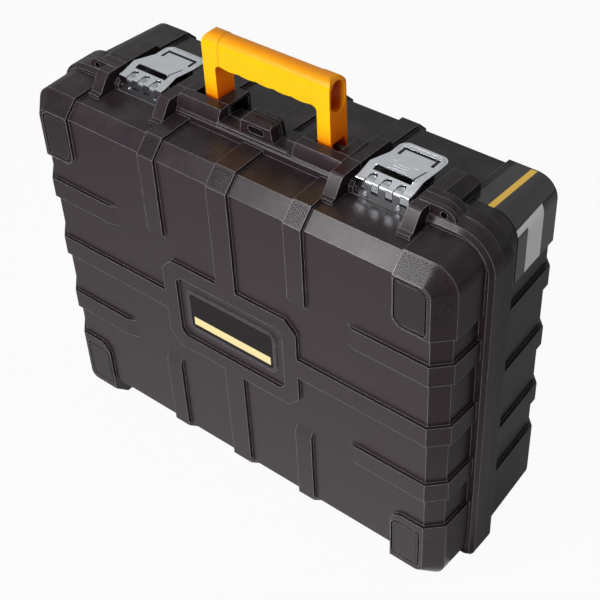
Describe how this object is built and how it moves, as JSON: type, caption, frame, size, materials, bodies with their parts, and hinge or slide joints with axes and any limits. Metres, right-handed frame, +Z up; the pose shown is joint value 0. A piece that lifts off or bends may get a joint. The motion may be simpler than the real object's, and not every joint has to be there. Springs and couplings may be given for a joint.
{
  "type": "hard tool case",
  "caption": "Hard plastic tool case with a ribbed lid and base hinged along one long side, draw latches with flip levers, and a fold-back carry handle.",
  "frame": {"origin": "on the ground under the middle of the case, which stands on its hinge side", "axes": "+X the case's right, seen from the lid's face; +Y from the lid to the base; +Z up, from the hinge side to the handle side"},
  "size_m": [0.469, 0.1714, 0.4425],
  "materials": {
    "case_plastic": "fine moulded grain, satin",
    "pad_plastic": "fine moulded grain, satin",
    "badge": "gloss with a plain pale band",
    "label_film": "blank film, gloss",
    "handle_plastic": "semi-gloss moulded",
    "latch_steel": "bright plated sheet steel",
    "pin_steel": "drawn wire"
  },
  "bodies": {
    "base": {"base_shell": "case_plastic", "corner_label": "label_film", "handle_pin_left": "pin_steel", "handle_pin_right": "pin_steel", "hinge_pin_left": "pin_steel", "hinge_pin_middle": "pin_steel", "hinge_pin_right": "pin_steel"},
    "lid": {"lid_shell": "case_plastic", "corner_pad_top_left": "pad_plastic", "corner_pad_top_right": "pad_plastic", "corner_pad_bottom_left": "pad_plastic", "corner_pad_bottom_right": "pad_plastic", "badge_plate": "badge", "latch_leaf_left": "latch_steel", "latch_leaf_right": "latch_steel", "latch_pin_left": "pin_steel", "latch_pin_right": "pin_steel", "latch_rivets_left": "latch_steel", "latch_rivets_right": "latch_steel"},
    "handle": {"handle": "handle_plastic"},
    "lever_left": {"latch_lever_left": "latch_steel"},
    "lever_right": {"latch_lever_right": "latch_steel"}
  },
  "joints": [
    {"name": "lid_hinge", "type": "hinge", "parent": "base", "child": "lid", "pos_m": [0, -0.0195, 0.0042], "axis": [1, 0, 0], "range_deg": [0, 100]},
    {"name": "handle_pivot", "type": "hinge", "parent": "base", "child": "handle", "pos_m": [0, -0.0065, 0.3765], "axis": [-1, 0, 0], "range_deg": [0, 90]},
    {"name": "latch_left_pivot", "type": "hinge", "parent": "lid", "child": "lever_left", "pos_m": [-0.13, -0.03, 0.376], "axis": [1, 0, 0], "range_deg": [0, 110]},
    {"name": "latch_right_pivot", "type": "hinge", "parent": "lid", "child": "lever_right", "pos_m": [0.13, -0.03, 0.376], "axis": [1, 0, 0], "range_deg": [0, 110]}
  ]
}
